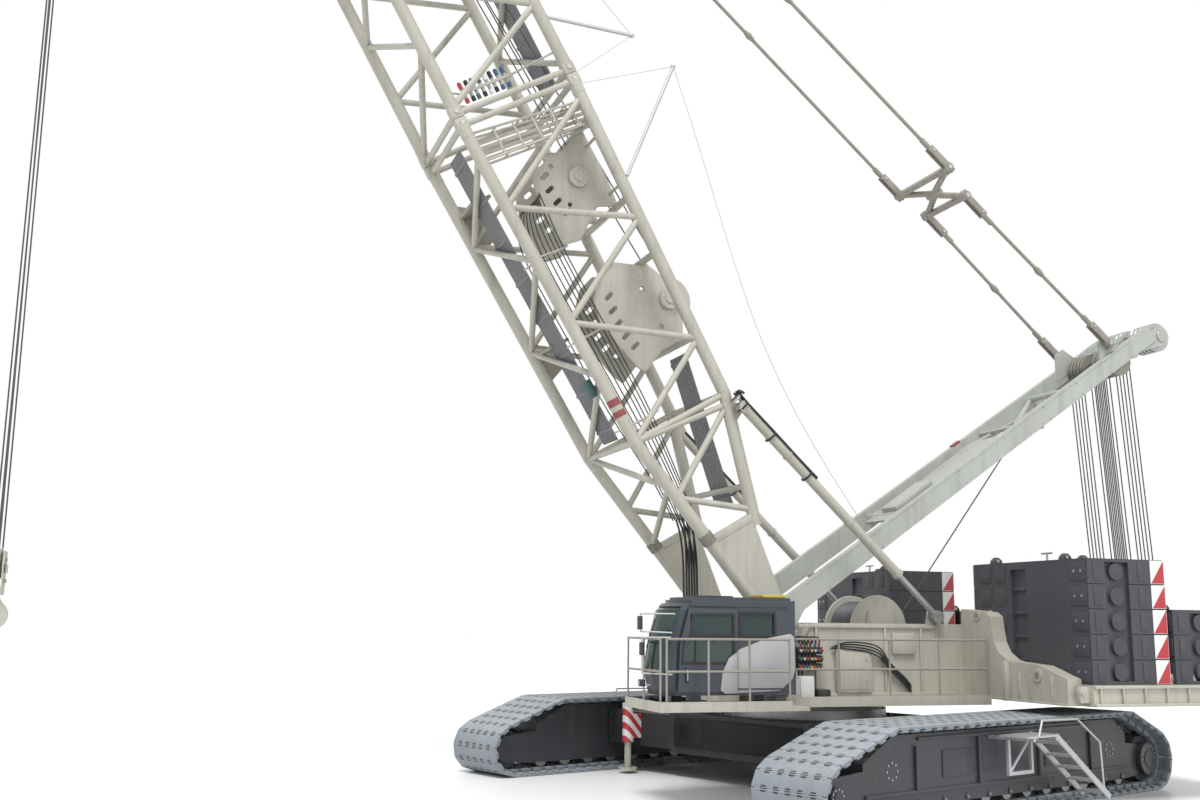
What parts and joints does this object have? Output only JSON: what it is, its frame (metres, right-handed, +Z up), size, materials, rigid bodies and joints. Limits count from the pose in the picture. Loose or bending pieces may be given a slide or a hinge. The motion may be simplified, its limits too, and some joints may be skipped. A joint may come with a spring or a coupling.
{
  "type": "crawler crane",
  "caption": "Crawler crane: slewing deck on two wide tracks, side cab, lattice boom held by pendants and a box mast, stacked counterweights, hanging hook block.",
  "frame": {"origin": "on the slewing axis at ground level", "axes": "+Z up; -Y is the way the superstructure and boom face; +X is the cab side; the crawlers stand turned 20.2 degrees about +Z"},
  "size_m": [12.8251, 24.4605, 27.5067],
  "materials": {
    "beige": "satin light warm grey paint",
    "track_shoe": "worn light blue-grey paint on cast steel",
    "frame_dark": "satin charcoal paint",
    "body_black": "satin near-black paint",
    "steel": "worn machined steel",
    "signal_red": "red paint with white bands",
    "cab_slate": "satin dark blue-grey paint",
    "cab_glass": "tinted clear glass",
    "stack_grey": "dark blue-grey painted castings"
  },
  "bodies": {
    "undercarriage": {"carbody": "body_black", "slewing_ring": "steel", "side_frame_left": "frame_dark", "side_frame_right": "frame_dark", "track_left": "track_shoe", "track_right": "track_shoe", "rollers": "steel", "access_steps": "steel", "jack_tubes": "signal_red"},
    "drive_wheel_left": {"drive_wheel_left": "steel"},
    "drive_wheel_right": {"drive_wheel_right": "steel"},
    "idler_left": {"idler_left": "steel"},
    "idler_right": {"idler_right": "steel"},
    "jack_front_left": {"jack_front_left": "beige"},
    "jack_front_right": {"jack_front_right": "beige"},
    "jack_rear_left": {"jack_rear_left": "beige"},
    "jack_rear_right": {"jack_rear_right": "beige"},
    "superstructure": {"deck_frame": "beige", "rear_arms": "beige", "cab_shell": "cab_slate", "cab_roof": "cab_slate", "cab_glass": "cab_glass", "operator_seat": "body_black", "cab_platform": "beige", "side_walkway": "beige", "railings": "beige", "power_pack": "beige", "engine_block": "body_black", "valve_bank": "steel", "winch_cheeks": "beige", "tray": "beige", "stacks_front": "stack_grey", "stacks_rear": "stack_grey"},
    "cab_door": {"cab_door": "cab_slate"},
    "luffing_drum": {"luffing_drum": "beige"},
    "boom": {"boom_foot": "beige", "boom_base": "beige", "boom_middle": "beige", "boom_top": "beige", "boom_head": "beige", "catwalk": "cab_slate", "hoist_frames": "beige", "pendants": "beige"},
    "hoist_drum_lower": {"hoist_drum_lower": "steel"},
    "hoist_drum_upper": {"hoist_drum_upper": "steel"},
    "head_sheaves": {"head_sheaves": "steel"},
    "mast": {"mast_frame": "beige"},
    "mast_sheaves": {"mast_sheaves": "steel"},
    "backstops": {"backstop_rods": "steel"},
    "backstop_sleeves": {"backstop_tubes": "beige"},
    "hoist_line": {"hoist_ropes": "body_black"},
    "hook_block": {"hook_block": "beige"},
    "hook": {"hook": "beige"}
  },
  "joints": [
    {"name": "drive_wheel_left_spin", "type": "hinge", "parent": "undercarriage", "child": "drive_wheel_left", "pos_m": [2.36538, 5.73447, 0.56], "axis": [0.9385, 0.3453, 0], "continuous": true},
    {"name": "drive_wheel_right_spin", "type": "hinge", "parent": "undercarriage", "child": "drive_wheel_right", "pos_m": [-5.51796, 2.83397, 0.56], "axis": [0.9385, 0.3453, 0], "continuous": true},
    {"name": "idler_left_spin", "type": "hinge", "parent": "undercarriage", "child": "idler_left", "pos_m": [5.53177, -2.87151, 0.52], "axis": [0.9385, 0.3453, 0], "continuous": true},
    {"name": "idler_right_spin", "type": "hinge", "parent": "undercarriage", "child": "idler_right", "pos_m": [-2.35157, -5.77201, 0.52], "axis": [0.9385, 0.3453, 0], "continuous": true},
    {"name": "jack_front_left_slide", "type": "slide", "parent": "undercarriage", "child": "jack_front_left", "axis": [0, 0, 1], "range_m": [-0.06, 0.4]},
    {"name": "jack_front_right_slide", "type": "slide", "parent": "undercarriage", "child": "jack_front_right", "axis": [0, 0, 1], "range_m": [-0.06, 0.4]},
    {"name": "jack_rear_left_slide", "type": "slide", "parent": "undercarriage", "child": "jack_rear_left", "axis": [0, 0, 1], "range_m": [-0.06, 0.4]},
    {"name": "jack_rear_right_slide", "type": "slide", "parent": "undercarriage", "child": "jack_rear_right", "axis": [0, 0, 1], "range_m": [-0.06, 0.4]},
    {"name": "slew", "type": "hinge", "parent": "undercarriage", "child": "superstructure", "pos_m": [0, 0, 1.44], "axis": [0, 0, 1], "continuous": true},
    {"name": "cab_door_slide", "type": "slide", "parent": "superstructure", "child": "cab_door", "axis": [0, 1, 0], "range_m": [0, 0.95]},
    {"name": "luffing_drum_spin", "type": "hinge", "parent": "superstructure", "child": "luffing_drum", "pos_m": [0, 1.45, 3], "axis": [1, 0, 0], "continuous": true},
    {"name": "luff", "type": "hinge", "parent": "superstructure", "child": "boom", "pos_m": [0, -1.134, 2.745], "axis": [-1, 0, 0], "range_deg": [-36, 22]},
    {"name": "hoist_drum_lower_spin", "type": "hinge", "parent": "boom", "child": "hoist_drum_lower", "pos_m": [0, -3.18856, 9.39848], "axis": [1, 0, 0], "continuous": true},
    {"name": "hoist_drum_upper_spin", "type": "hinge", "parent": "boom", "child": "hoist_drum_upper", "pos_m": [0, -5.12391, 11.69182], "axis": [1, 0, 0], "continuous": true},
    {"name": "head_sheaves_spin", "type": "hinge", "parent": "boom", "child": "head_sheaves", "pos_m": [0, -14.53444, 26.41502], "axis": [1, 0, 0], "continuous": true},
    {"name": "mast_swing", "type": "hinge", "parent": "superstructure", "child": "mast", "pos_m": [0, -1.134, 2.745], "axis": [-1, 0, 0], "range_deg": [-36, 22]},
    {"name": "mast_sheaves_spin", "type": "hinge", "parent": "mast", "child": "mast_sheaves", "pos_m": [0, 8.91602, 9.64502], "axis": [1, 0, 0], "continuous": true},
    {"name": "backstop_swing", "type": "hinge", "parent": "superstructure", "child": "backstops", "pos_m": [0, 2.09, 3.22], "axis": [-1, 0, 0], "range_deg": [-24, 15]},
    {"name": "backstop_stroke", "type": "slide", "parent": "backstops", "child": "backstop_sleeves", "axis": [0, -0.7277, 0.6859], "range_m": [-0.9, 1.5]},
    {"name": "hook_plumb", "type": "hinge", "parent": "boom", "child": "hoist_line", "pos_m": [0, -14.53444, 26.41502], "axis": [-1, 0, 0], "range_deg": [-23, 37]},
    {"name": "hoist", "type": "slide", "parent": "hoist_line", "child": "hook_block", "axis": [0, 0, 1], "range_m": [-6, 9.8], "deforming": ["hoist_ropes"]},
    {"name": "hook_swivel", "type": "hinge", "parent": "hook_block", "child": "hook", "pos_m": [0, -14.9748, 3.38], "axis": [0, 0, 1], "continuous": true}
  ],
  "couplings": [
    {"joint": "mast_swing", "follows": "luff", "ratio": 1},
    {"joint": "backstop_swing", "follows": "luff", "ratio": 0.64},
    {"joint": "backstop_stroke", "follows": "luff", "m_per_rad": -2.2},
    {"joint": "hook_plumb", "follows": "luff", "ratio": -1},
    {"joint": "hoist", "follows": "luff", "m_per_rad": -15.5}
  ]
}
